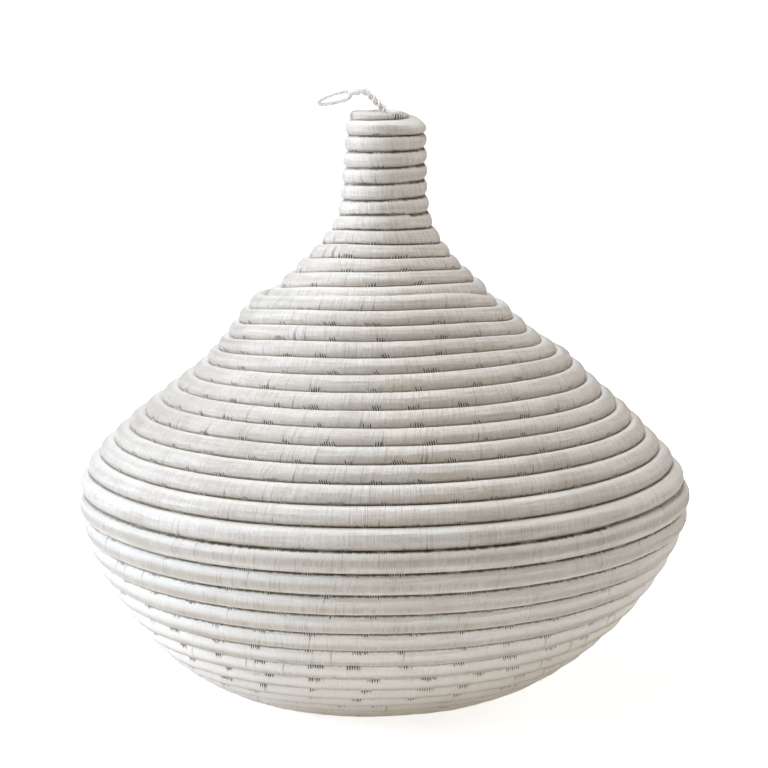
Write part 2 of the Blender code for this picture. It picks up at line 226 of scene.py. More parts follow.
def settle(points, lid=False):
    # Each point moves by the field's values at its height, times shares by its radius and side
    p = np.array(points, dtype=float)
    x, y, z = p[..., 0].copy(), p[..., 1].copy(), p[..., 2].copy()
    radius = np.sqrt(x * x + y * y)
    lean, rise, sag, outward = (np.interp(z, uneven["heights"], uneven[key]) / 1000
                                for key in ("lean", "rise", "sag", "outward"))
    roll = np.interp(z, uneven["heights"], uneven["roll"])
    if lid:
        low = ramp(-z, -lidSeat["top"], lidSeat["top"] - lidSeat["foot"])
        lean, outward = lean + lidSeat["lean"] * low, outward + lidSeat["outward"] * low
    onCrown = ramp(z, crown["foot"], crown["blend"])
    onLoop = ramp(z, crownTop, crown["loopBlend"])
    leaning = (np.interp(radius, crown["leanRadii"], crown["leanShares"]) * (1 - onLoop)
               + np.interp(radius, crown["loopRadii"], crown["loopShares"]) * onLoop)
    lean = lean - crown["lean"] * leaning * onCrown
    grown = np.interp(radius, crown["spreadRadii"], crown["spreadShares"]) * (1 - onLoop)
    outward = outward + crown["outward"] * grown * onCrown
    falling = (ramp(z, crown["fallFoot"], crown["fallHeight"])
               * ramp(radius, crown["fallRadius"], crown["fallWidth"]) * (1 - onLoop))
    rise = rise - (crown["fall"] + crown["fallRight"] * ramp(x, 0.0, crown["fallReach"])) * falling
    p[..., 0] += lean + outward * x / (radius + uneven["core"])
    p[..., 1] += outward * y / (radius + uneven["core"])
    # In front the sag grows from the middle to the sides, and at the back it is whole
    reach = np.where(y < 0, x * x, radius * radius)
    sideways = (reach / (radius * radius + uneven["core"] ** 2)) ** 2
    p[..., 2] += rise - sag * sideways - roll * x
    # Slow waves of unlike lengths, which die away at the foot
    low = ramp(z, 0.0, uneven["waveFoot"])
    wave = uneven["wave"] * low
    p[..., 0] += wave * np.sin(31 * z + 9 * y + 1.0) * np.cos(14 * x + 0.5)
    p[..., 1] += wave * np.sin(27 * z - 11 * x + 2.2)
    p[..., 2] += wave * low * np.sin(13 * x + 1.7) * np.sin(12 * y + 0.4)
    return p


def addMesh(name, verts, quads, material, triangles=None, values=None, smooth=True):
    # A mesh from whole arrays. Values are its attributes by name, one vector a point
    mesh = bpy.data.meshes.new(name)
    count, total = len(quads), len(verts)
    three = 0 if triangles is None else len(triangles)
    mesh.vertices.add(total)
    mesh.vertices.foreach_set("co", np.ascontiguousarray(verts, dtype=np.float32).ravel())
    mesh.loops.add(4 * count + 3 * three)
    mesh.polygons.add(count + three)
    corners = np.asarray(quads, dtype=np.int32).ravel()
    starts = 4 * np.arange(count, dtype=np.int32)
    if three:
        corners = np.concatenate([corners, np.asarray(triangles, dtype=np.int32).ravel()])
        starts = np.concatenate([starts, 4 * count + 3 * np.arange(three, dtype=np.int32)])
    mesh.loops.foreach_set("vertex_index", corners)
    mesh.polygons.foreach_set("loop_start", starts)
    mesh.update(calc_edges=True)
    mesh.polygons.foreach_set("use_smooth", np.full(count + three, smooth))
    for key, data in (values or {}).items():
        layer = mesh.attributes.new(key, "FLOAT_VECTOR", "POINT")
        layer.data.foreach_set("vector", np.ascontiguousarray(data, dtype=np.float32).ravel())
    mesh.validate()
    made = bpy.data.objects.new(name, mesh)
    bpy.context.scene.collection.objects.link(made)
    mesh.materials.append(material)
    return made


def gridFaces(rings, around):
    # Four-sided faces between rings of points, each ring closed on itself
    i, j = np.meshgrid(np.arange(rings - 1), np.arange(around), indexing="ij")
    a, b = i * around + j, i * around + (j + 1) % around
    return np.stack([a, b, b + around, a + around], axis=-1).reshape(-1, 4)


def smoothNoise(at, period, seed):
    # Slow random curve of unit size over a length, a sum of waves of unlike lengths
    pick = np.random.default_rng(seed)
    total = np.zeros_like(at)
    for k in range(6):
        total += np.sin(at * turn / (period * pick.uniform(0.6, 2.2)) + pick.uniform(0, turn))
    return total / math.sqrt(3.0)


# Materials, as small node graphs
class Graph:
    def __init__(self, name):
        self.material = bpy.data.materials.new(name)
        self.material.use_nodes = True
        self.tree = self.material.node_tree
        self.shader = self.tree.nodes["Principled BSDF"]

    def put(self, socket, value):
        if isinstance(value, bpy.types.NodeSocket):
            self.tree.links.new(value, socket)
        else:
            socket.default_value = value

    def math(self, operation, a, b=None, c=None, clamp=False):
        node = self.tree.nodes.new("ShaderNodeMath")
        node.operation = operation
        node.use_clamp = clamp
        for k, value in enumerate((a, b, c)):
            if value is not None:
                self.put(node.inputs[k], value)
        return node.outputs[0]

    def smooth(self, value, low, high, start=0.0, end=1.0):
        # From the start value at low to the end value at high, with no corner
        node = self.tree.nodes.new("ShaderNodeMapRange")
        node.interpolation_type = "SMOOTHSTEP"
        for k, v in enumerate((value, low, high, start, end)):
            self.put(node.inputs[k], v)
        return node.outputs[0]

    def attribute(self, name):
        node = self.tree.nodes.new("ShaderNodeAttribute")
        node.attribute_name = name
        split = self.tree.nodes.new("ShaderNodeSeparateXYZ")
        self.put(split.inputs[0], node.outputs["Vector"])
        return split.outputs

    def noise(self, scale, detail=2.0, vector=None):
        node = self.tree.nodes.new("ShaderNodeTexNoise")
        node.inputs["Scale"].default_value = scale
        node.inputs["Detail"].default_value = detail
        if vector is None:
            place = self.tree.nodes.new("ShaderNodeTexCoord")
            vector = place.outputs["Object"]
        self.put(node.inputs["Vector"], vector)
        return node.outputs["Fac"]

    def chance(self, value, other=None):
        # A random value for each whole number, or pair of them
        node = self.tree.nodes.new("ShaderNodeTexWhiteNoise")
        node.noise_dimensions = "3D"
        join = self.tree.nodes.new("ShaderNodeCombineXYZ")
        self.put(join.inputs[0], value)
        if other is not None:
            self.put(join.inputs[1], other)
        self.put(node.inputs["Vector"], join.outputs[0])
        return node.outputs["Value"]

    def vector(self, x, y, z):
        join = self.tree.nodes.new("ShaderNodeCombineXYZ")
        for k, value in enumerate((x, y, z)):
            self.put(join.inputs[k], value)
        return join.outputs[0]

    def mix(self, share, a, b):
        node = self.tree.nodes.new("ShaderNodeMix")
        node.data_type = "RGBA"
        self.put(node.inputs["Factor"], share)
        colours = [s for s in node.inputs if s.type == "RGBA"]
        self.put(colours[0], a)
        self.put(colours[1], b)
        return [s for s in node.outputs if s.type == "RGBA"][0]

    def bump(self, height, distance, under=None):
        node = self.tree.nodes.new("ShaderNodeBump")
        node.inputs["Strength"].default_value = 1.0
        node.inputs["Distance"].default_value = distance
        self.put(node.inputs["Height"], height)
        if under is not None:
            self.put(node.inputs["Normal"], under)
        return node.outputs[0]


# Thread colours and strengths. Some of them paint light and shade: the light painted under the stitched seam
# and its colour, the painted shade bands, the painted shade low on the upper rows, the painted highlight on
# their tops,
# the painted shade in the creases between threads and bunches, in the gaps and deep in the seams, and the
# lengthwise streaks that paint a satin sheen. The seam colour is partly dirt and partly painted shade.
thread = {
    "width": 0.00106, "wander": 0.0022, "bunch": 3.6,
    "slant": 0.0006, "slantNoise": 0.0025, "groupSlant": 0.0030, "groupSlantBack": -0.0010,
    "pale": (0.82, 0.775, 0.71, 1), "plain": (0.66, 0.605, 0.54, 1), "dull": (0.46, 0.395, 0.32, 1),
    "paintedLight": (0.97, 0.94, 0.88, 1), "seam": (0.115, 0.082, 0.034, 1), "gap": (0.050, 0.034, 0.014, 1),
    "ownTone": 0.50, "bunchTone": 0.20, "fleckTone": 0.38, "paintedSheenStreaks": 1.4,
    "patch": 0.35, "odd": 0.40, "creaseShade": 0.56, "bunchCreaseShade": 0.42,
    "shade": 0.95, "paintedShadeBand": 0.50, "under": 0.45, "top": 0.60,
    "ragged": 0.0005, "farSeam": 0.6, "held": 0.85, "split": 0.40,
    "height": 0.00030, "bunchHeight": 0.00020, "streakHeight": 0.0012, "slotHeight": 0.0010,
    "roughness": 0.38, "fleckRoughness": 0.20, "mattRoughness": 0.5,
    "anisotropy": 0.75, "sheen": 0.15, "sheenRoughness": 0.4, "specular": 0.9,
}
# Gaps between the stitches of a group, painted dark as the shade inside them, longer in the basket's upper
# half
slots = {"spacing": 0.0016, "longer": 0.0018, "upper": 0.0030, "lower": 0.0021, "taper": 0.42,
         "run": 0.012, "weakest": 0.40, "lean": 0.6, "leanBack": -0.1}


def wrappedThread(name):
    # Thread wound round a coil. The attribute coilPlace holds the length along the coil, and
    # the cosine and sine of the angle round it, from outwards and towards the mouth or crown.
    # coilRow holds the side with the stitches, half the row's height and the angle there that the
    # next row hides, coilStitch the distance to the nearest group of stitches, half its width and
    # a random value, and coilSeam how dark and how wide the seam is and the height from where it
    # shows in the row's side.
    g = Graph(name)
    length, outward, upward = g.attribute("coilPlace")
    side, half, hidden = g.attribute("coilRow")
    dark, line, fromDark = g.attribute("coilSeam")
    offset, width, groupOwn = g.attribute("coilStitch")
    angle = g.math("ARCTAN2", upward, outward)
    bend = g.math("ABSOLUTE", g.math("SUBTRACT", g.math("ABSOLUTE", angle), math.pi / 2))
    inGroup = g.smooth(g.math("DIVIDE", g.math("ABSOLUTE", offset), width), 0.80, 1.15, 1.0, 0.0)
    fromSeam = g.math("MULTIPLY", g.math("SUBTRACT", g.math("ABSOLUTE", g.math(
        "SUBTRACT", math.pi / 2, g.math("MULTIPLY", angle, side))), hidden), half)

    # Thread index and profile. Threads lie straight across the row, unevenly spaced
    drift = g.noise(55.0, 1.0, g.vector(length, 0.0, 0.0))
    lean = g.noise(9.0, 1.0, g.vector(length, 5.0, 0.0))
    lean = g.math("MULTIPLY_ADD", g.math("SUBTRACT", lean, 0.5), thread["slantNoise"], thread["slant"])
    groupLean = g.math("MULTIPLY_ADD", groupOwn, thread["groupSlant"], thread["groupSlantBack"])
    lean = g.math("MULTIPLY_ADD", inGroup, groupLean, lean)
    drifted = g.math("MULTIPLY_ADD", drift, thread["wander"], length)
    lengthwise = g.math("ADD", drifted, g.math("MULTIPLY", angle, lean))
    count = g.math("DIVIDE", lengthwise, thread["width"])
    index = g.math("FLOOR", count)
    across = g.math("MULTIPLY_ADD", g.math("FRACT", count), 2.0, -1.0)
    beside = g.math("SUBTRACT", 1.0, g.math("MULTIPLY", across, across))
    profile = g.math("SQRT", g.math("MAXIMUM", beside, 0.0))
    own = g.chance(index)
    bunchCount = g.math("DIVIDE", count, thread["bunch"])
    bunchAcross = g.math("MULTIPLY_ADD", g.math("FRACT", bunchCount), 2.0, -1.0)
    bunch = g.math("SUBTRACT", 1.0, g.math("POWER", g.math("ABSOLUTE", bunchAcross), 4.0))
    bunchOwn = g.chance(g.math("FLOOR", bunchCount), 7.0)

    # Small gaps at the seam inside a stitch group, painted dark as the shade inside them, narrowing away from
    # the seam
    slotLean = g.math("MULTIPLY", g.math("MULTIPLY_ADD", groupOwn, slots["lean"], slots["leanBack"]), side)
    leaning = g.math("ADD", offset, g.math("MULTIPLY", fromSeam, slotLean))
    slotCount = g.math("DIVIDE", leaning, slots["spacing"])
    slotOwn = g.chance(g.math("FLOOR", slotCount), g.math("FLOOR", g.math("DIVIDE", length, slots["run"])))
    slotAcross = g.math("ABSOLUTE", g.math("MULTIPLY_ADD", g.math("FRACT", slotCount), 2.0, -1.0))
    shortest = g.smooth(side, 0.0, 0.5, slots["upper"], slots["lower"])
    slotLong = g.math("MULTIPLY_ADD", slotOwn, slots["longer"], shortest)
    reach = g.math("DIVIDE", g.math("MAXIMUM", fromSeam, 0.0), slotLong)
    narrowed = g.math("ADD", slotAcross, g.math("MULTIPLY", reach, slots["taper"]))
    slot = g.math("MULTIPLY", g.smooth(narrowed, 0.52, 0.80, 1.0, 0.0), g.smooth(reach, 0.75, 1.10, 1.0, 0.0))
    slotStrength = g.smooth(slotOwn, 0.10, 0.30, slots["weakest"], 1.0)
    slot = g.math("MULTIPLY", g.math("MULTIPLY", slot, inGroup), slotStrength)

    # Tone of each thread and bunch, with flecks, wide patches and streaks along the row that paint a satin
    # sheen
    fleck = g.noise(300.0, 2.0)
    patch = g.noise(12.0, 3.0)
    streak = g.noise(1.0, 3.0, g.vector(g.math("MULTIPLY", length, 30.0), g.math("MULTIPLY", upward, 2.6),
                                        g.math("MULTIPLY", outward, 2.6)))
    tone = g.math("MULTIPLY", fleck, thread["fleckTone"])
    tone = g.math("MULTIPLY_ADD", bunchOwn, thread["bunchTone"], tone)
    tone = g.math("MULTIPLY_ADD", own, thread["ownTone"], tone)
    tone = g.math("MULTIPLY_ADD", g.math("SUBTRACT", streak, 0.5), thread["paintedSheenStreaks"], tone)
    colour = g.mix(g.smooth(tone, 0.12, 0.74), thread["plain"], thread["pale"])
    colour = g.mix(g.smooth(patch, 0.50, 0.72, 0.0, thread["patch"]), colour, thread["dull"])
    colour = g.mix(g.smooth(own, 0.92, 0.98, 0.0, thread["odd"]), colour, thread["dull"])

    # Painted shade in the creases between threads and between bunches
    creaseShade = g.math("MULTIPLY", g.smooth(profile, 0.10, 0.75, 1.0, 0.0), thread["creaseShade"])
    bunchCreaseShade = g.math("MULTIPLY", g.smooth(bunch, 0.0, 0.5, 1.0, 0.0),
                         g.math("MULTIPLY", bunchOwn, thread["bunchCreaseShade"]))
    colour = g.mix(g.math("MAXIMUM", creaseShade, bunchCreaseShade), colour, thread["dull"])

    # Painted light and shade across the row, for how the lamps fall on it. In the lower half, whose stitches
    # are above, painted light lies under the stitched seam and a painted shade band runs across the middle;
    # in the upper half painted shade lies low on the row by the stitched seam and a painted highlight on its
    # top.
    lowerHalf = g.smooth(side, 0.0, 0.5)
    # Painted light under the stitched seam of the lower half's rows
    pale = g.math("MULTIPLY", g.smooth(fromSeam, 0.0045, 0.0105, thread["shade"], 0.0), lowerHalf)
    colour = g.mix(pale, colour, thread["paintedLight"])
    share = g.math("DIVIDE", fromSeam, half)
    # Painted shade: a band across the middle of the lower half's rows, and shade low on the upper half's rows
    paintedShadeBand = g.smooth(g.math("ABSOLUTE", g.math("SUBTRACT", share, 1.50)), 0.10, 0.50, thread["paintedShadeBand"], 0.0)
    paintedShadeBand = g.mix(lowerHalf, g.smooth(share, 0.25, 1.30, thread["under"], 0.0), paintedShadeBand)
    colour = g.mix(g.math("MULTIPLY", paintedShadeBand, g.math("ADD", streak, own)), colour, thread["dull"])
    # Painted highlight on the top of the upper half's rows
    top = g.smooth(g.math("ABSOLUTE", g.math("SUBTRACT", share, 2.25)), 0.15, 0.80, thread["top"], 0.0)
    upperHalf = g.smooth(side, 0.0, 0.5, 1.0, 0.0)
    colour = g.mix(g.math("MULTIPLY", top, upperHalf), colour, thread["paintedLight"])

    # Dark seams, partly dirt and partly painted shade, with an edge that is ragged thread by thread, held
    # together by the stitches, and painted shade deep where the rows touch
    ragged = g.math("MULTIPLY_ADD", g.math("SUBTRACT", own, 0.5), thread["ragged"], fromDark)
    seam = g.smooth(g.math("DIVIDE", ragged, line), 0.40, 1.0, 1.0, 0.0)
    seam = g.math("MAXIMUM", seam, g.smooth(bend, 0.03, 0.20, thread["farSeam"], 0.0))
    held = g.math("MULTIPLY", inGroup, g.smooth(slotAcross, 0.45, 0.70, 0.0, thread["held"]))
    seam = g.math("MULTIPLY", g.math("MULTIPLY", seam, dark), g.math("SUBTRACT", 1.0, held))
    # Rare splits between threads near the seam, and the gaps between stitches, are painted dark as the shade
    # inside them
    split = g.math("MULTIPLY", g.smooth(own, 0.988, 0.996, 0.0, thread["split"]),
                   g.smooth(fromSeam, 0.0050, 0.0090, 1.0, 0.0))
    colour = g.mix(split, colour, thread["gap"])
    colour = g.mix(seam, colour, thread["seam"])
    colour = g.mix(slot, colour, thread["gap"])
    g.put(g.shader.inputs["Base Color"], colour)

    # Relief, and a gloss that runs round the coil with the thread
    relief = g.bump(g.math("MULTIPLY", profile, g.math("MULTIPLY_ADD", own, 0.8, 0.4)), thread["height"])
    relief = g.bump(g.math("MULTIPLY", bunch, bunchOwn), thread["bunchHeight"], relief)
    relief = g.bump(streak, thread["streakHeight"], relief)
    relief = g.bump(g.math("SUBTRACT", 1.0, slot), thread["slotHeight"], relief)
    g.put(g.shader.inputs["Normal"], relief)
    roughness = g.math("MULTIPLY_ADD", fleck, thread["fleckRoughness"],
                       thread["roughness"] - thread["fleckRoughness"] / 2)
    matt = g.math("MULTIPLY", g.math("MAXIMUM", slot, seam), thread["mattRoughness"])
    g.put(g.shader.inputs["Roughness"], g.math("ADD", roughness, matt, clamp=True))
    way = g.tree.nodes.new("ShaderNodeAttribute")
    way.attribute_name = "coilWay"
    g.put(g.shader.inputs["Tangent"], way.outputs["Vector"])
    g.shader.inputs["Anisotropic"].default_value = thread["anisotropy"]
    g.shader.inputs["Sheen Weight"].default_value = thread["sheen"]
    g.shader.inputs["Sheen Roughness"].default_value = thread["sheenRoughness"]
    g.shader.inputs["Specular IOR Level"].default_value = thread["specular"]
    return g.material


cordLook = {
    "pale": (0.98, 0.945, 0.92, 1), "dull": (0.90, 0.86, 0.82, 1), "plyShade": 0.85, "fibreShade": 0.35,
    "fibres": 13.0, "lay": 0.0042, "slim": 0.9, "lumps": 0.03, "plyHeight": 0.00012,
    "fibreHeight": 0.00003, "roughness": 0.65, "sheen": 0.3,
}


def twistedThread(name):
    # Thread of two plies: coilPlace holds the length and the cosine and sine round the strand
    g = Graph(name)
    length, first, second = g.attribute("coilPlace")
    angle = g.math("ARCTAN2", second, first)
    spiral = g.math("ADD", g.math("DIVIDE", angle, turn), g.math("DIVIDE", length, cordLook["lay"]))
    ply = g.math("ABSOLUTE", g.math("SINE", g.math("MULTIPLY", spiral, turn)))
    fibre = g.math("MULTIPLY", spiral, cordLook["fibres"])
    own = g.chance(g.math("FLOOR", fibre))
    fine = g.math("ABSOLUTE", g.math("SINE", g.math("MULTIPLY", fibre, math.pi)))
    fleck = g.noise(420.0, 3.0)
    # Painted shade in the grooves between the plies and between the fibres, with random tone on top
    shade = g.math("MAXIMUM", g.smooth(ply, 0.0, 0.45, cordLook["plyShade"], 0.0),
                   g.smooth(fine, 0.0, 0.5, cordLook["fibreShade"], 0.0))
    unlike = g.math("MULTIPLY", g.math("SUBTRACT", g.math("ADD", own, fleck), 1.0), 0.25)
    shade = g.math("ADD", shade, unlike, clamp=True)
    g.put(g.shader.inputs["Base Color"], g.mix(shade, cordLook["pale"], cordLook["dull"]))
    relief = g.bump(ply, cordLook["plyHeight"])
    relief = g.bump(fine, cordLook["fibreHeight"], relief)
    g.put(g.shader.inputs["Normal"], relief)
    g.shader.inputs["Roughness"].default_value = cordLook["roughness"]
    g.shader.inputs["Sheen Weight"].default_value = cordLook["sheen"]
    return g.material


coilMaterial = wrappedThread("wrapped thread")
cordMaterial = twistedThread("twisted thread")
print("materials made")


def smoothRoute(points, count, steps=30):
    # Catmull-Rom curve through all the points, evenly spaced
    knots = np.array(points, dtype=float)
    padded = np.vstack([2 * knots[0] - knots[1], knots, 2 * knots[-1] - knots[-2]])
    fine = []
    for k in range(1, len(padded) - 2):
        a, b, c, d = padded[k - 1:k + 3]
        t = np.linspace(0.0, 1.0, steps)[:, None]
        fine.append(0.5 * (2 * b + (c - a) * t + (2 * a - 5 * b + 4 * c - d) * t ** 2
                           + (3 * b - a - 3 * c + d) * t ** 3))
    fine = np.vstack(fine)
    length = along(fine)
    even = np.linspace(0.0, length[-1], count)
    return np.stack([np.interp(even, length, fine[:, k]) for k in range(3)], axis=1), length[-1]


# Hanging loop: the CAD's own route, up one strand, round the eye and down the other
def loopPath():
    apart = cad["strand"] / 2 + cad["strandGap"] / 2
    stemPoints, eyePoints = 34, 12
    stem, length = smoothRoute([(0.0, 0.0, -cad["coilInCrown"] - cad["jointGap"])] + stemRoute, stemPoints)
    stem[:, 2] += crownTop
    way = np.gradient(stem, axis=0)
    way /= np.linalg.norm(way, axis=1)[:, None]
    side = np.cross(way, (0.0, 1.0, 0.0))
    left = length * (1.0 - np.arange(stemPoints) / (stemPoints - 1))
    above = length - cad["coilInCrown"] / 2 - cad["jointGap"]
    odd = (math.pi - (cad["endAzimuth"] + turn * lidTurns)) % math.pi
    halfTurns = round((turn * above / cad["twistPitch"] - odd) / math.pi)
    angle = left / above * (odd + math.pi * halfTurns)
    swing = np.cos(angle)[:, None] * side + np.sin(angle)[:, None] * np.array([0.0, 1.0, 0.0])
    up, down = stem + apart * swing, stem - apart * swing
    t = np.linspace(0.0, math.pi, eyePoints + 1)[1:]
    reach = cad["eyeLength"] * (1.0 - np.cos(t)) / 2
    half = cad["eyeWidth"] / 2 * np.sin(t) ** 0.8 + apart * (1.0 + np.cos(t)) / 2
    out = stem[-1] + reach[:, None] * way[-1] + half[:, None] * side[-1]
    back = stem[-1] + reach[:, None] * way[-1] - half[:, None] * side[-1]
    return np.vstack([up, out, back[-2::-1], down[::-1]])


def strandTube(name, path, radius, material, closed=False, around=20, lumps=0.0):
    # A round strand along a path, with frames carried along it without twist
    count = len(path)
    if closed:
        way = np.roll(path, -1, axis=0) - np.roll(path, 1, axis=0)
    else:
        way = np.gradient(path, axis=0)
    way /= np.linalg.norm(way, axis=1)[:, None]
    first = np.cross(way[0], (0.3, 0.9, 0.2))
    frames = [first / np.linalg.norm(first)]
    for k in range(1, count):
        carried = frames[-1] - way[k] * np.dot(frames[-1], way[k])
        frames.append(carried / np.linalg.norm(carried))
    across = np.array(frames)
    if closed:
        # What the last frame lacks of the first one is spread over the whole ring
        miss = math.atan2(np.dot(np.cross(across[-1], across[0]), way[0]),
                          np.dot(across[-1], across[0]))
        share = (miss * np.arange(count) / (count - 1))[:, None]
        across = across * np.cos(share) + np.cross(way, across) * np.sin(share)
    other = np.cross(way, across)
    t = np.arange(around) * turn / around
    length = along(path)
    size = radius * (1 + lumps * smoothNoise(length, 0.006, 5))
    ring = (across[:, None, :] * np.cos(t)[None, :, None] + other[:, None, :] * np.sin(t)[None, :, None])
    verts = (path[:, None, :] + ring * size[:, None, None]).reshape(-1, 3)
    place = np.stack([np.repeat(length, around), np.tile(np.cos(t), count),
                      np.tile(np.sin(t), count)], axis=1)
    quads = gridFaces(count, around)
    triangles = None
    if closed:
        j = np.arange(around)
        a, b = (count - 1) * around + j, (count - 1) * around + (j + 1) % around
        quads = np.vstack([quads, np.stack([a, b, (j + 1) % around, j], axis=1)])
    else:
        verts = np.vstack([verts, path[0], path[-1]])
        place = np.vstack([place, (0, 1, 0), (length[-1], 1, 0)])
        j = np.arange(around)
        k = (j + 1) % around
        last = (count - 1) * around
        triangles = np.vstack([np.stack([np.full(around, count * around), k, j], axis=1),
                               np.stack([np.full(around, count * around + 1), last + j, last + k], axis=1)])
    return addMesh(name, verts, quads, material, triangles, {"coilPlace": place})


cadPath = loopPath()
finePath = settle(smoothRoute(cadPath, 520, 8)[0])
loop = strandTube("loopStrand", finePath, cad["strand"] / 2 * cordLook["slim"], cordMaterial,
                  lumps=cordLook["lumps"])
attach(loop, "lid")
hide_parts("hanging_loop")
tuple(settle(np.array([0.0, 0.0, crownTop])))

# Knot: a trefoil under the crown
t = np.linspace(0.0, turn, 181)[:-1]
wide = cad["knotSize"] * (2.0 + np.cos(3 * t))
knotMiddle = crownTop - cad["coilInCrown"] - 2 * cad["jointGap"] - cad["knotSize"] - cad["strand"] / 2
knotPath = settle(np.stack([wide * np.cos(2 * t), wide * np.sin(2 * t),
                            knotMiddle + cad["knotSize"] * np.sin(3 * t)], axis=1))
knot = strandTube("loopKnot", knotPath, cad["strand"] / 2, cordMaterial, closed=True)
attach(knot, "lid")
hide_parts("loop_knot")
print("loop and knot made")


# Wrapped coils: their rings, cross-section and thinned ends
wrap = {
    "step": 0.0023, "around": 22, "square": 2.2, "overlap": 0.00045, "lowest": 0.0003,
    "swell": 0.018, "swellLength": 0.07, "ripple": 0.010, "rippleLength": 0.012,
    "rimTail": 0.070, "edgeTail": 0.040, "startTail": 0.020, "crownTail": 0.010,
    "tailThickness": 0.62, "blunt": 0.0050, "sideLift": 0.006, "sideBlend": 0.001,
}
# Groups of stitches, one in each cell along a coil, weaker near the floor
group = {
    "spacing": 0.034, "most": 1500, "jitter": 0.012, "narrow": 0.0020, "wide": 0.0056, "none": 1e-5,
    "pinch": 0.00045, "pinchReach": 0.0015, "heights": [0.015, 0.075], "strengths": [0.30, 1.0],
}
# Seams between rows, dark partly with dirt and partly with painted shade, by height above the floor, and
# painted weaker at the far left, where the left lamp's light falls
seams = {
    "heights": [0.0, 0.02, 0.05, 0.08, 0.15, 0.19, 0.24, 0.30, 0.345, 0.41, 0.42],
    "dark": [0.10, 0.18, 0.42, 0.85, 0.95, 0.60, 0.38, 0.40, 0.90, 0.90, 0.50],
    "wide": [0.0004, 0.0006, 0.0013, 0.0021, 0.0024, 0.0020, 0.0013, 0.0010, 0.0018, 0.0018, 0.0012],
    "leftPlaces": [-0.95, -0.55], "leftDark": [0.45, 1.0], "leastDark": 0.05,
    "ragged": 0.07, "raggedDark": 0.04, "raggedLength": 0.0045,
    "eye": 0.14, "mostHidden": 0.48, "far": 0.02, "under": -0.002,
}


def squared(angle):
    # Cosine and sine of a round that is a little square, each to the power 2 / square
    c, s = np.cos(angle), np.sin(angle)
    power = 2.0 / wrap["square"]
    return np.sign(c) * np.abs(c) ** power, np.sign(s) * np.abs(s) ** power


def halfThickness(thick, at, seed):
    swell = wrap["swell"] * smoothNoise(at, wrap["swellLength"], seed)
    ripple = wrap["ripple"] * smoothNoise(at, wrap["rippleLength"], seed + 20)
    return thick / 2 * (1 + swell + ripple)


def stitchGroups(at, height, seed):
    # At each ring, the distance to the cell's group, half the group's width and its random value,
    # and then a table of the groups. A ring beside a cell's border has no group, so that none
    # shows between two cells.
    pick = np.random.default_rng(seed + 40)
    spacing = group["spacing"]
    cells = np.floor(at / spacing).astype(int)
    jitter = pick.uniform(-0.5, 0.5, group["most"]) * group["jitter"]
    wide = pick.uniform(group["narrow"], group["wide"], group["most"])
    chance = pick.uniform(0.0, 1.0, group["most"])
    inCell = at / spacing - cells
    offset = (inCell - 0.5) * spacing - jitter[cells]
    inside = np.minimum(inCell, 1 - inCell) * spacing > wrap["step"]
    strength = np.interp(height, group["heights"], group["strengths"])
    held = np.unique(cells)[1:-1]
    table = np.stack([(held + 0.5) * spacing + jitter[held], wide[held], chance[held]], axis=1)
    return offset, np.where(inside, wide[cells], group["none"]), chance[cells] * strength, table


def hiddenAngle(coil, turns, step):
    # Angle of a row, on the stitches' side, that the next row hides from an eye a little above
    # level. Where two rows of one size touch, a sight line past the nearer one touches the other
    # at the angle whose cosine is twice that of the slope, less one.
    slope = math.pi / 2 + seams["eye"] - np.arctan2(step[:, 1], step[:, 0])
    hidden = np.arccos(np.clip(2 * np.cos(slope) - 1, -1, 1)) - np.abs(slope)
    inner = (turns >= 1) & (turns <= coil["turns"] - 1)
    return np.where(inner, np.minimum(hidden, seams["mostHidden"]), 0.0)


def seen(radius, height):
    # Height as an eye a little above level sees it
    return height * math.cos(seams["eye"]) - radius * math.sin(seams["eye"])


def nearness(place):
    return place[:, 0] * math.cos(seams["eye"]) + place[:, 1] * math.sin(seams["eye"])


def heightFromSeam(coil, turns, middle, verts, lengths, seed):
    # Seen height of each point from the seam that shows: from the lowest point of the row above
    # where that row stands nearer, and from the highest point of the row below where that does
    angle = np.arange(wrap["around"]) * turn / wrap["around"]
    c, s = squared(angle)
    outer = np.cos(angle) >= -0.01
    height = seen(np.hypot(verts[..., 0], verts[..., 1]), verts[..., 2])
    fromSeam = np.full(height.shape, seams["far"])
    here, _, _ = coilAt(coil, turns)
    for direction in (1, -1):
        other = turns + direction * coil["climbs"]
        there = np.clip(other, 0, coil["turns"])
        place, thick, way = coilAt(coil, there)
        shows = (other == there) & (nearness(place) > nearness(here))
        half = halfThickness(thick, np.interp(there, *lengths), seed)[:, None]
        tall = (np.linalg.norm(place - middle, axis=1) / 2 + wrap["overlap"])[:, None]
        way = way * coil["climbs"]
        outline = seen(place[:, :1] + way[:, 1:] * half * c + way[:, :1] * tall * s,
                       place[:, 1:] - way[:, :1] * half * c + way[:, 1:] * tall * s)[:, outer]
        if direction > 0:
            found = outline.min(axis=1)[:, None] - height
        else:
            found = height - outline.max(axis=1)[:, None]
        fromSeam[shows] = np.minimum(fromSeam, found)[shows]
    return np.maximum(fromSeam, seams["under"])


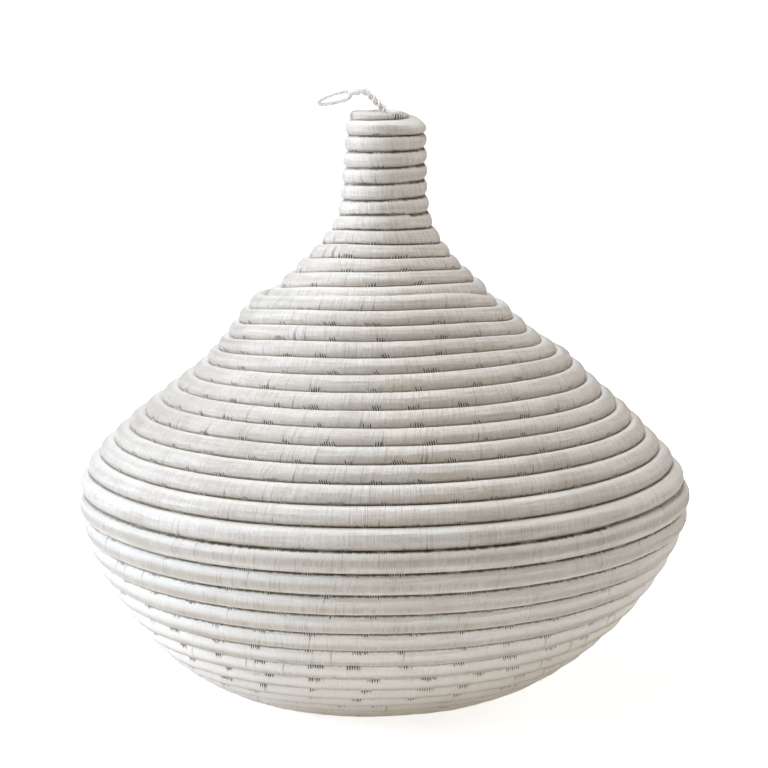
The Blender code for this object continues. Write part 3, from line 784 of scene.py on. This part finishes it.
def coilSurface(coil, fromTurn, toTurn, tails, sideAt, seed):
    # Rings of points along a length of coil, the values for wrappedThread, and the coil's shape
    # for the stitches. A tail is a thinned end, given by its turn.
    climbs = coil["climbs"]
    fine = np.linspace(0, coil["turns"], 20001)
    middle, _, _ = coilAt(coil, fine)
    azimuth = cad["endAzimuth"] + climbs * turn * fine
    length = along(np.stack([middle[:, 0] * np.cos(azimuth), middle[:, 0] * np.sin(azimuth),
                             middle[:, 1]], axis=1))
    start, end = np.interp([fromTurn, toTurn], fine, length)
    rings = int((end - start) / wrap["step"]) + 2
    at = np.linspace(start, end, rings)
    turns = np.interp(at, length, fine)
    middle, thick, way = coilAt(coil, turns)
    before, _, _ = coilAt(coil, np.maximum(turns - 1, 0))
    after, _, _ = coilAt(coil, np.minimum(turns + 1, coil["turns"]))

    # Half sizes out of the wall and along it, where a row meets the rows beside it
    half = halfThickness(thick, at, seed)
    towardsStart = np.linalg.norm(middle - before, axis=1) / 2 + wrap["overlap"]
    towardsStart = np.where(turns >= 1, towardsStart, half)
    towardsEnd = np.linalg.norm(after - middle, axis=1) / 2 + wrap["overlap"]
    towardsEnd = np.where(turns <= coil["turns"] - 1, towardsEnd, half)
    share = np.ones(rings)
    thin = wrap["tailThickness"]
    for end, tail in tails.items():
        left = np.abs(turns - end) * turn * middle[:, 0]
        now = thin + (1 - thin) * np.sin(np.minimum(left / tail, 1) * math.pi / 2)
        direction = 1.0 if end == 0 else -1.0
        middle = middle + direction * way * ((1 - now) * thick / 2)[:, None]
        inside = np.clip(left / wrap["blunt"], 0.0, 1.0)
        share = share * now * np.sqrt(np.maximum(1 - (1 - inside) ** 2, 0.0))
    half, towardsStart, towardsEnd = half * share, towardsStart * share, towardsEnd * share
    upHalf, downHalf = (towardsStart, towardsEnd) if climbs < 0 else (towardsEnd, towardsStart)

    # Rings: the normal points out of the wall and up points along it, away from the floor
    azimuth = cad["endAzimuth"] + climbs * turn * turns
    outwards = np.stack([np.cos(azimuth), np.sin(azimuth), np.zeros(rings)], axis=1)
    centre = outwards * middle[:, :1]
    centre[:, 2] = middle[:, 1]
    up = climbs * outwards * way[:, :1]
    up[:, 2] = climbs * way[:, 1]
    normal = climbs * outwards * way[:, 1:2]
    normal[:, 2] = -climbs * way[:, 0]
    around = wrap["around"]
    angle = np.arange(around) * turn / around
    c, s = np.cos(angle), np.sin(angle)
    squareC, squareS = squared(angle)
    rise = np.where(s[None, :] > 0, upHalf[:, None], downHalf[:, None]) * squareS[None, :]
    verts = (centre[:, None, :] + normal[:, None, :] * (half[:, None] * squareC[None, :])[..., None]
             + up[:, None, :] * rise[..., None])

    # Stitches draw in the edge that they hold, which is the upper one below sideAt
    side = np.interp(middle[:, 1], [sideAt - wrap["sideBlend"], sideAt + wrap["sideBlend"]], [1.0, -1.0])
    offset, wide, chance, groups = stitchGroups(at, middle[:, 1], seed)
    drawn = np.exp(-(offset / (wide + group["pinchReach"])) ** 2)[:, None]
    drawn = drawn * np.clip(side[:, None] * s[None, :], 0, 1) ** 2
    verts -= normal[:, None, :] * (drawn * group["pinch"] * np.clip(c[None, :], 0, 1))[..., None]
    verts[..., 2] = np.maximum(verts[..., 2], wrap["lowest"])

    # Seams, dark partly with dirt and partly with painted shade
    dark, line = (np.interp(middle[:, 1], seams["heights"], seams[key]) for key in ("dark", "wide"))
    rough = smoothNoise(at, seams["raggedLength"], seed + 60)
    # Painted light: the seams are painted weaker at the far left, where the left lamp's light falls
    lit = np.interp(centre[:, 0] / (middle[:, 0] + 0.001), seams["leftPlaces"], seams["leftDark"])
    dark = np.clip(dark * lit * (1 + seams["raggedDark"] * rough), seams["leastDark"], 1.0)
    line = line * (1 + seams["ragged"] * rough)
    step = np.where(side[:, None] * climbs < 0, middle - before, after - middle) * climbs
    hidden = hiddenAngle(coil, turns, step)
    fromSeam = heightFromSeam(coil, turns, middle, verts, (fine, length), seed)
    tangent = np.gradient(centre, axis=0)
    tangent /= np.linalg.norm(tangent, axis=1)[:, None]

    def perPoint(*values):
        return np.stack([np.repeat(value, around) for value in values], axis=1)

    values = {
        "coilPlace": np.stack([np.repeat(at, around), np.tile(c, rings), np.tile(s, rings)], axis=1),
        "coilRow": perPoint(side, thick / 2, hidden),
        "coilStitch": perPoint(offset, wide, chance),
        "coilSeam": np.hstack([perPoint(dark, line), fromSeam.reshape(-1, 1)]),
        "coilWay": np.repeat(tangent, around, axis=0),
    }
    shape = {"at": at, "centre": centre, "normal": normal, "up": up, "groups": groups,
             "sizes": np.stack([half, upHalf, downHalf, thick / 2, side, hidden, share], axis=1)}
    return verts, values, shape


shapes = {"basket": [], "lid": []}


def coilPiece(name, coil, fromTurn, toTurn, tails, body, node, sideAt, seed):
    # One named length of a coil, its wall facing outwards. Its two ends are closed with points of
    # their own, so that the wall's shading stays even.
    verts, values, shape = coilSurface(coil, fromTurn, toTurn, tails, sideAt, seed)
    rings, around = verts.shape[:2]
    mid = rings // 2
    a, b, c = verts[mid, 0], verts[mid, 1], verts[mid + 1, 0]
    inwards = np.dot(np.cross(b - a, c - a), a - verts[mid].mean(axis=0)) < 0
    flat = settle(verts.reshape(-1, 3), body == "lid")
    ends = [flat[:around], flat[-around:], flat[:around].mean(axis=0), flat[-around:].mean(axis=0)]
    values = {key: np.vstack([v, v[:around], v[-around:], v[:1], v[-1:]]) for key, v in values.items()}
    total = rings * around
    j = np.arange(around)
    k = (j + 1) % around
    first = np.stack([np.full(around, total + 2 * around), total + k, total + j], axis=1)
    last = np.stack([np.full(around, total + 2 * around + 1), total + around + j, total + around + k], axis=1)
    quads, triangles = gridFaces(rings, around), np.vstack([first, last])
    if inwards:
        quads, triangles = quads[:, ::-1], triangles[:, ::-1]
    made = addMesh(name, np.vstack([flat, *ends]), quads, coilMaterial, triangles, values)
    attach(made, body)
    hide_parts(node)
    if name != "baseCoil":
        shapes[body].append(shape)
    print(name, rings, "rings,", len(quads) * 2, "triangles")


def turnNear(coil, point):
    # Turn of the coil's corner that is nearest to a point of its profile
    place = coil["run"][np.argmin(np.linalg.norm(coil["line"] - point, axis=1))]
    return int(np.argmin(np.abs(coil["places"] - place))) / cad["corners"]


# Each piece with its node and the turn where it ends, half a corner past the CAD's division
half = 0.5 / cad["corners"]
bellyTurn = turnNear(basketCoil, belly)
basketPieces = [
    ("rimCoil", "rim_coil", 1 + half, {0: wrap["rimTail"]}),
    ("shoulderCoil", "shoulder_coil", bellyTurn - 3 + half, {}),
    ("bellyCoil", "belly_coil", bellyTurn + 2 + half, {}),
    ("lowerWallCoil", "lower_wall_coil", turnNear(basketCoil, foot) + half, {}),
    ("baseCoil", "base_coil", basketCoil["turns"], {basketCoil["turns"]: wrap["startTail"]}),
]
lidPieces = [
    ("lidEdgeCoil", "lid_edge_coil", 1 + half, {0: wrap["edgeTail"]}),
    ("lidShoulderCoil", "lid_shoulder_coil", turnNear(lidCoil, neckFoot) - 1 + half, {}),
    ("lidNeckCoil", "lid_neck_coil", turnNear(lidCoil, neckTop) + half, {}),
    ("lidCrownCoil", "lid_crown_coil", lidCoil["turns"], {lidCoil["turns"]: wrap["crownTail"]}),
]
# The basket's stitches change sides above the belly, and the lid's are all on one side
for body, coil, pieces, sideAt, seed in (
        ("basket", basketCoil, basketPieces, cad["bellyHeight"] + wrap["sideLift"], 1),
        ("lid", lidCoil, lidPieces, -1.0, 2)):
    start = 0
    for name, node, end, tails in pieces:
        coilPiece(name, coil, start, end, tails, body, node, sideAt, seed)
        start = end
print("coils made")


# Stitches: the light threads between a group's dark gaps, from the seam up over the row
stitch = {"radius": 0.00036, "from": -0.0009, "length": 0.0034, "longer": 0.0016, "rings": 5, "sides": 4,
          "lift": 0.00010, "arch": 0.00055, "most": 4, "past": 0.3, "height": 0.0001}
# Loose fibres: each pair is a lowest and a highest value
fibre = {"count": {"basket": 150, "lid": 30}, "radius": 0.00013, "length": (0.006, 0.018), "rings": 12,
         "sides": 3, "angle": (-1.0, 1.0), "turning": (-0.9, 0.9), "along": (0.3, 1.0), "lift": 0.00005,
         "arch": 0.0022, "archShare": (0.3, 1.0), "archEnd": (0.5, 0.95),
         "curl": 0.0035, "curlShare": (0.2, 1.0), "curlTurn": (2.0, 6.0)}


def onCoil(shape, at, angle):
    # Points on a coil's surface at a length along it and an angle round it, and the way out there
    def pick(values):
        return np.stack([np.interp(at, shape["at"], values[:, k]) for k in range(values.shape[1])], axis=-1)

    half, upHalf, downHalf = np.moveaxis(pick(shape["sizes"][:, :3]), -1, 0)
    normal, up = pick(shape["normal"]), pick(shape["up"])
    c, s = squared(angle)
    out = (half * c)[..., None] * normal + (np.where(s > 0, upHalf, downHalf) * s)[..., None] * up
    way = normal * np.cos(angle)[..., None] + up * np.sin(angle)[..., None]
    return pick(shape["centre"]) + out, way


def manyTubes(paths, outward, radius, sides):
    # One thin tube along each path, drawn in at both ends
    count, rings = paths.shape[:2]
    way = np.gradient(paths, axis=1)
    way /= np.linalg.norm(way, axis=-1)[..., None]
    across = np.cross(way, outward)
    across /= np.linalg.norm(across, axis=-1)[..., None]
    other = np.cross(across, way)
    t = np.arange(sides) * turn / sides + 0.4
    size = radius * np.concatenate([[0.45], np.ones(rings - 2), [0.45]])
    verts = (paths[:, :, None] + size[None, :, None, None]
             * (across[:, :, None] * np.cos(t)[:, None] + other[:, :, None] * np.sin(t)[:, None]))
    verts[..., 2] = np.maximum(verts[..., 2], wrap["lowest"])
    quads = gridFaces(rings, sides)[:, ::-1]
    start = (np.arange(count) * rings * sides)[:, None, None]
    return verts.reshape(-1, 3), (quads[None] + start).reshape(-1, 4)


def joinTubes(tubes, rings, sides):
    # All tubes as one list of points and one of faces, and the faces that close their ends
    starts = np.cumsum([0] + [len(verts) for verts, _ in tubes])
    verts = np.vstack([verts for verts, _ in tubes])
    quads = np.vstack([quads + start for (_, quads), start in zip(tubes, starts)])
    first = np.arange(len(verts) // (rings * sides))[:, None] * rings * sides
    last = first + (rings - 1) * sides
    return verts, quads, np.vstack([first + np.arange(sides), last + np.arange(sides)[::-1]])


def stitchTubes(body):
    # The stitches of every group, a slot's spacing apart and leaning with the slots
    tubes = []
    pick = np.random.default_rng(11)
    for shape in shapes[body]:
        n = np.arange(-stitch["most"], stitch["most"] + 1) * slots["spacing"]
        keep = np.abs(n)[None, :] <= shape["groups"][:, 1:2] + stitch["past"] * slots["spacing"]
        base = (shape["groups"][:, :1] + n)[keep]
        chance = np.broadcast_to(shape["groups"][:, 2:], keep.shape)[keep]
        row, side, hidden, share = (np.interp(base, shape["at"], shape["sizes"][:, k]) for k in (3, 4, 5, 6))
        good = (share > 0.97) & (np.abs(side) > 0.9)
        base, chance, row, side, hidden = (v[good][:, None] for v in (base, chance, row, side, hidden))
        q = np.linspace(0.0, 1.0, stitch["rings"])[None, :]
        length = stitch["length"] + stitch["longer"] * pick.uniform(-1, 1, base.shape)
        fromSeam = stitch["from"] + length * q
        at = base - fromSeam * (slots["lean"] * chance + slots["leanBack"]) * side
        point, out = onCoil(shape, at, side * (math.pi / 2 - hidden - fromSeam / row))
        point = point + out * (stitch["lift"] + stitch["arch"] * (1 - q) ** 2)[..., None]
        tubes.append(manyTubes(settle(point, body == "lid"), out, stitch["radius"], stitch["sides"]))
    verts, quads, ends = joinTubes(tubes, stitch["rings"], stitch["sides"])
    return verts, np.vstack([quads, ends])


def fibreTubes(body):
    # Fibres that have come loose at random places, arched and curled
    tubes = []
    pick = np.random.default_rng(23)
    weights = np.array([len(shape["at"]) for shape in shapes[body]], dtype=float)
    chosen = pick.choice(len(weights), fibre["count"][body], p=weights / weights.sum())
    for k, shape in enumerate(shapes[body]):
        size = (int(np.sum(chosen == k)), 1)
        if not size[0]:
            continue
        q = np.linspace(0.0, 1.0, fibre["rings"])[None, :]
        length = pick.uniform(*fibre["length"], size)
        base = pick.uniform(shape["at"][5], shape["at"][-25], size)
        angle = pick.uniform(*fibre["angle"], size) + pick.uniform(*fibre["turning"], size) * q
        point, out = onCoil(shape, base + length * q * pick.uniform(*fibre["along"], size), angle)
        arch = fibre["arch"] * pick.uniform(*fibre["archShare"], size)
        arch = arch * np.sin(q * math.pi * pick.uniform(*fibre["archEnd"], size))
        curl = fibre["curl"] * pick.uniform(*fibre["curlShare"], size)
        curl = curl * np.sin(q * pick.uniform(*fibre["curlTurn"], size)) * q
        point = point + out * (arch + fibre["lift"])[..., None]
        point[..., 2] += curl
        tubes.append(manyTubes(settle(point, body == "lid"), out, fibre["radius"], fibre["sides"]))
    return joinTubes(tubes, fibre["rings"], fibre["sides"])


def looseThread(name):
    # Plain thread for the stitches and the loose fibres, with no bands or seams
    g = Graph(name)
    g.put(g.shader.inputs["Base Color"], g.mix(g.noise(90.0, 2.0), thread["plain"], thread["pale"]))
    g.put(g.shader.inputs["Normal"], g.bump(g.noise(1500.0, 2.0), stitch["height"]))
    g.shader.inputs["Roughness"].default_value = thread["roughness"]
    g.shader.inputs["Sheen Weight"].default_value = thread["sheen"]
    return g.material


stitchMaterial = looseThread("loose thread")
for body in ("basket", "lid"):
    stitches = addMesh(body + "Stitches", *stitchTubes(body), stitchMaterial)
    verts, quads, triangles = fibreTubes(body)
    fibres = addMesh(body + "Fibres", verts, quads, stitchMaterial, triangles)
    for made in (stitches, fibres):
        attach(made, body)
    print(body, len(stitches.data.polygons), "stitch faces,", len(fibres.data.polygons), "fibre faces")


# Floor, white to the camera, with only a faint shadow of the object; to all other rays it glows faintly warm,
# lighting the object from below though it is no lamp
room = {"floorSize": 12.0, "floorHeight": -0.0006, "floor": (0.86, 0.86, 0.86, 1), "bounce": 0.19,
        "glow": 0.75, "farGlow": 1.1, "glowFrom": 0.5, "glowTo": 1.6, "warm": (1.03, 0.92, 0.77, 1),
        "world": 0.0, "seenWorld": 1.2, "aim": (0.0, 0.0, 0.2)}
floorMaterial = bpy.data.materials.new("floor")
floorMaterial.use_nodes = True
nodes, links = floorMaterial.node_tree.nodes, floorMaterial.node_tree.links
nodes.clear()
output, plain, glow, ray, tint, strength, place, away, fade, both = (
    nodes.new("ShaderNode" + kind) for kind in (
        "OutputMaterial", "BsdfDiffuse", "Emission", "LightPath", "Mix", "MapRange", "TexCoord",
        "VectorMath", "MapRange", "AddShader"))
plain.inputs["Color"].default_value = room["floor"]
tint.data_type = "RGBA"
tint.inputs[6].default_value = room["warm"]
tint.inputs[7].default_value = (1.0, 1.0, 1.0, 1.0)
strength.inputs["To Min"].default_value = room["bounce"]
away.operation = "LENGTH"
for socket, key in (("From Min", "glowFrom"), ("From Max", "glowTo"),
                    ("To Min", "glow"), ("To Max", "farGlow")):
    fade.inputs[socket].default_value = room[key]
for start, end in (
        (ray.outputs["Is Camera Ray"], tint.inputs["Factor"]), (tint.outputs[2], glow.inputs["Color"]),
        (ray.outputs["Is Camera Ray"], strength.inputs["Value"]), (place.outputs["Object"], away.inputs[0]),
        (away.outputs["Value"], fade.inputs["Value"]), (fade.outputs[0], strength.inputs["To Max"]),
        (strength.outputs[0], glow.inputs["Strength"]), (plain.outputs[0], both.inputs[0]),
        (glow.outputs[0], both.inputs[1]), (both.outputs[0], output.inputs["Surface"])):
    links.new(start, end)
floorSide, down = room["floorSize"] / 2, room["floorHeight"]
floorCorners = [(-floorSide, -floorSide, down), (floorSide, -floorSide, down),
                (floorSide, floorSide, down), (-floorSide, floorSide, down)]
floor = addMesh("floor", np.array(floorCorners), np.array([(0, 1, 2, 3)]), floorMaterial, smooth=False)

world = bpy.data.worlds.new("world")
bpy.context.scene.world = world
world.use_nodes = True
nodes, links = world.node_tree.nodes, world.node_tree.links
background = nodes["Background"]
background.inputs["Color"].default_value = (1.0, 1.0, 1.0, 1.0)
ray = nodes.new("ShaderNodeLightPath")
level = nodes.new("ShaderNodeMapRange")
level.inputs["To Min"].default_value = room["world"]
level.inputs["To Max"].default_value = room["seenWorld"]
links.new(ray.outputs["Is Camera Ray"], level.inputs["Value"])
links.new(level.outputs[0], background.inputs["Strength"])

lamps = [
    {"name": "left", "place": (-2.1, 0.0, 0.8), "size": 1.1, "power": 37, "colour": (0.89, 0.985, 1.14)},
    {"name": "right", "place": (1.9, 0.6, 0.9), "size": 1.3, "power": 12.4, "colour": (1.07, 0.99, 0.92)},
    {"name": "front", "place": (-0.3, -2.3, 0.35), "size": 1.0, "power": 4.0, "colour": (1.0, 0.965, 0.90)},
    {"name": "above", "place": (-0.2, -0.9, 2.1), "size": 0.9, "power": 18.4, "colour": (0.99, 0.985, 0.97)},
    {"name": "behind", "place": (-0.3, 0.5, 2.3), "size": 1.2, "power": 30.4, "colour": (0.95, 1.0, 1.06)},
]
for lamp in lamps:
    data = bpy.data.lights.new(lamp["name"], "AREA")
    data.energy, data.color = lamp["power"], lamp["colour"]
    data.shape, data.size = "SQUARE", lamp["size"]
    made = bpy.data.objects.new(lamp["name"], data)
    made.location = lamp["place"]
    x, y, z = np.array(room["aim"]) - np.array(lamp["place"])
    made.rotation_euler = (math.pi / 2 + math.atan2(z, math.hypot(x, y)), 0.0, math.atan2(y, x) - math.pi / 2)
    bpy.context.scene.collection.objects.link(made)

bpy.context.scene.view_settings.view_transform = "Standard"
